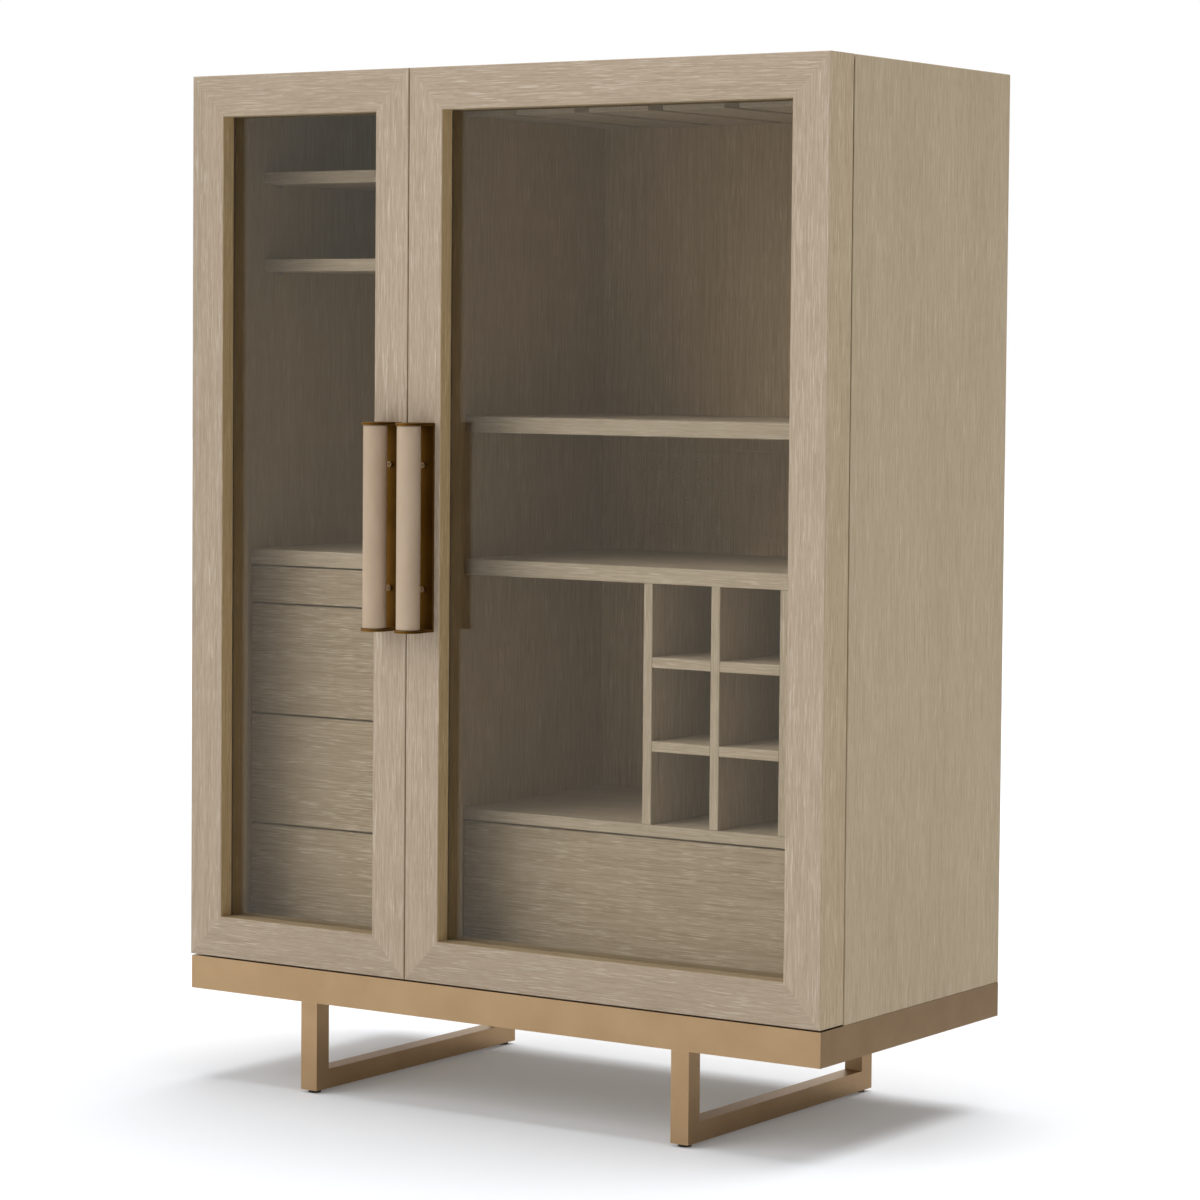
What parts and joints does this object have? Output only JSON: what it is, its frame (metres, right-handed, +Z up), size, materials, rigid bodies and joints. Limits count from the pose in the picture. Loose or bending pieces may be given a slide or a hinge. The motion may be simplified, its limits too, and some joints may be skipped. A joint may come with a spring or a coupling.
{
  "type": "bar armoire",
  "caption": "Two-door glazed bar cabinet in pale limed oak on a brass sled base, with shelves, drawers, a bottle grid and a stemware rack behind smoked glass.",
  "frame": {"origin": "on the floor, at the middle of the whole outline, handles included", "axes": "+X to the right seen from the front, +Y to the back, +Z up"},
  "size_m": [1.17, 0.605, 1.6],
  "materials": {
    "oak": "wire-brushed, limed, matt",
    "drawer_wood": "fine sanded, matt",
    "smoked_glass": "lightly bronzed, clear",
    "leather": "matt, stitched",
    "dark_brass": "dark antique, satin",
    "antique_brass": "antique, satin",
    "hinge_metal": "dark antique, satin",
    "steel": "plain",
    "glide_plastic": "moulded, matt"
  },
  "bodies": {
    "cabinet": {"back_panel": "oak", "bar_shelf": "oak", "base_front_rail": "antique_brass", "base_left_rail": "antique_brass", "base_rear_rail": "antique_brass", "base_right_rail": "antique_brass", "base_screws": "steel", "bottle_shelf": "oak", "bottom_panel": "oak", "centre_divider": "oak", "cubby_partitions": "oak", "cubby_rows": "oak", "drawer_runners": "drawer_wood", "floor_glides": "glide_plastic", "hinge_pins": "hinge_metal", "left_hinge_case_leaf": "hinge_metal", "left_lower_shelf": "oak", "left_side_panel": "oak", "left_sled_leg": "antique_brass", "left_upper_shelf": "oak", "rear_access_cover": "oak", "right_hinge_case_leaf": "hinge_metal", "right_lower_shelf": "oak", "right_side_panel": "oak", "right_sled_leg": "antique_brass", "right_upper_shelf": "oak", "shelf_pins": "steel", "stemware_battens": "oak", "stemware_boards": "oak", "top_panel": "oak"},
    "bar_tray": {"bar_tray_box": "drawer_wood", "bar_tray_front": "oak"},
    "left_door": {"left_door_bottom_rail": "oak", "left_door_glass": "smoked_glass", "left_door_hinge_stile": "oak", "left_door_meeting_stile": "oak", "left_door_top_rail": "oak", "left_handle_bracket": "dark_brass", "left_handle_leather": "leather", "left_handle_screws": "dark_brass", "left_hinge_door_leaf": "hinge_metal"},
    "left_lower_drawer": {"left_lower_drawer_box": "drawer_wood", "left_lower_drawer_front": "oak"},
    "left_middle_drawer": {"left_middle_drawer_box": "drawer_wood", "left_middle_drawer_front": "oak"},
    "left_upper_drawer": {"left_upper_drawer_box": "drawer_wood", "left_upper_drawer_front": "oak"},
    "right_door": {"right_door_bottom_rail": "oak", "right_door_glass": "smoked_glass", "right_door_hinge_stile": "oak", "right_door_meeting_stile": "oak", "right_door_top_rail": "oak", "right_handle_bracket": "dark_brass", "right_handle_leather": "leather", "right_handle_screws": "dark_brass", "right_hinge_door_leaf": "hinge_metal"},
    "right_drawer": {"right_drawer_box": "drawer_wood", "right_drawer_front": "oak"}
  },
  "joints": [
    {"name": "left_door_swing", "type": "hinge", "parent": "cabinet", "child": "left_door", "pos_m": [-0.58345, -0.175, 0.9], "axis": [0, 0, -1], "range_deg": [0, 110]},
    {"name": "right_door_swing", "type": "hinge", "parent": "cabinet", "child": "right_door", "pos_m": [0.58345, -0.175, 0.9], "axis": [0, 0, 1], "range_deg": [0, 110]},
    {"name": "bar_tray_slide", "type": "slide", "parent": "cabinet", "child": "bar_tray", "axis": [0, -1, 0], "range_m": [0, 0.25]},
    {"name": "left_upper_drawer_slide", "type": "slide", "parent": "cabinet", "child": "left_upper_drawer", "axis": [0, -1, 0], "range_m": [0, 0.25]},
    {"name": "left_middle_drawer_slide", "type": "slide", "parent": "cabinet", "child": "left_middle_drawer", "axis": [0, -1, 0], "range_m": [0, 0.25]},
    {"name": "left_lower_drawer_slide", "type": "slide", "parent": "cabinet", "child": "left_lower_drawer", "axis": [0, -1, 0], "range_m": [0, 0.25]},
    {"name": "right_drawer_slide", "type": "slide", "parent": "cabinet", "child": "right_drawer", "axis": [0, -1, 0], "range_m": [0, 0.25]}
  ],
  "couplings": [
    {"joint": "bar_tray_slide", "follows": "left_door_swing", "m_per_rad": 0.085},
    {"joint": "left_upper_drawer_slide", "follows": "left_door_swing", "m_per_rad": 0.085},
    {"joint": "left_middle_drawer_slide", "follows": "left_door_swing", "m_per_rad": 0.085},
    {"joint": "left_lower_drawer_slide", "follows": "left_door_swing", "m_per_rad": 0.085},
    {"joint": "right_drawer_slide", "follows": "right_door_swing", "m_per_rad": 0.085}
  ]
}
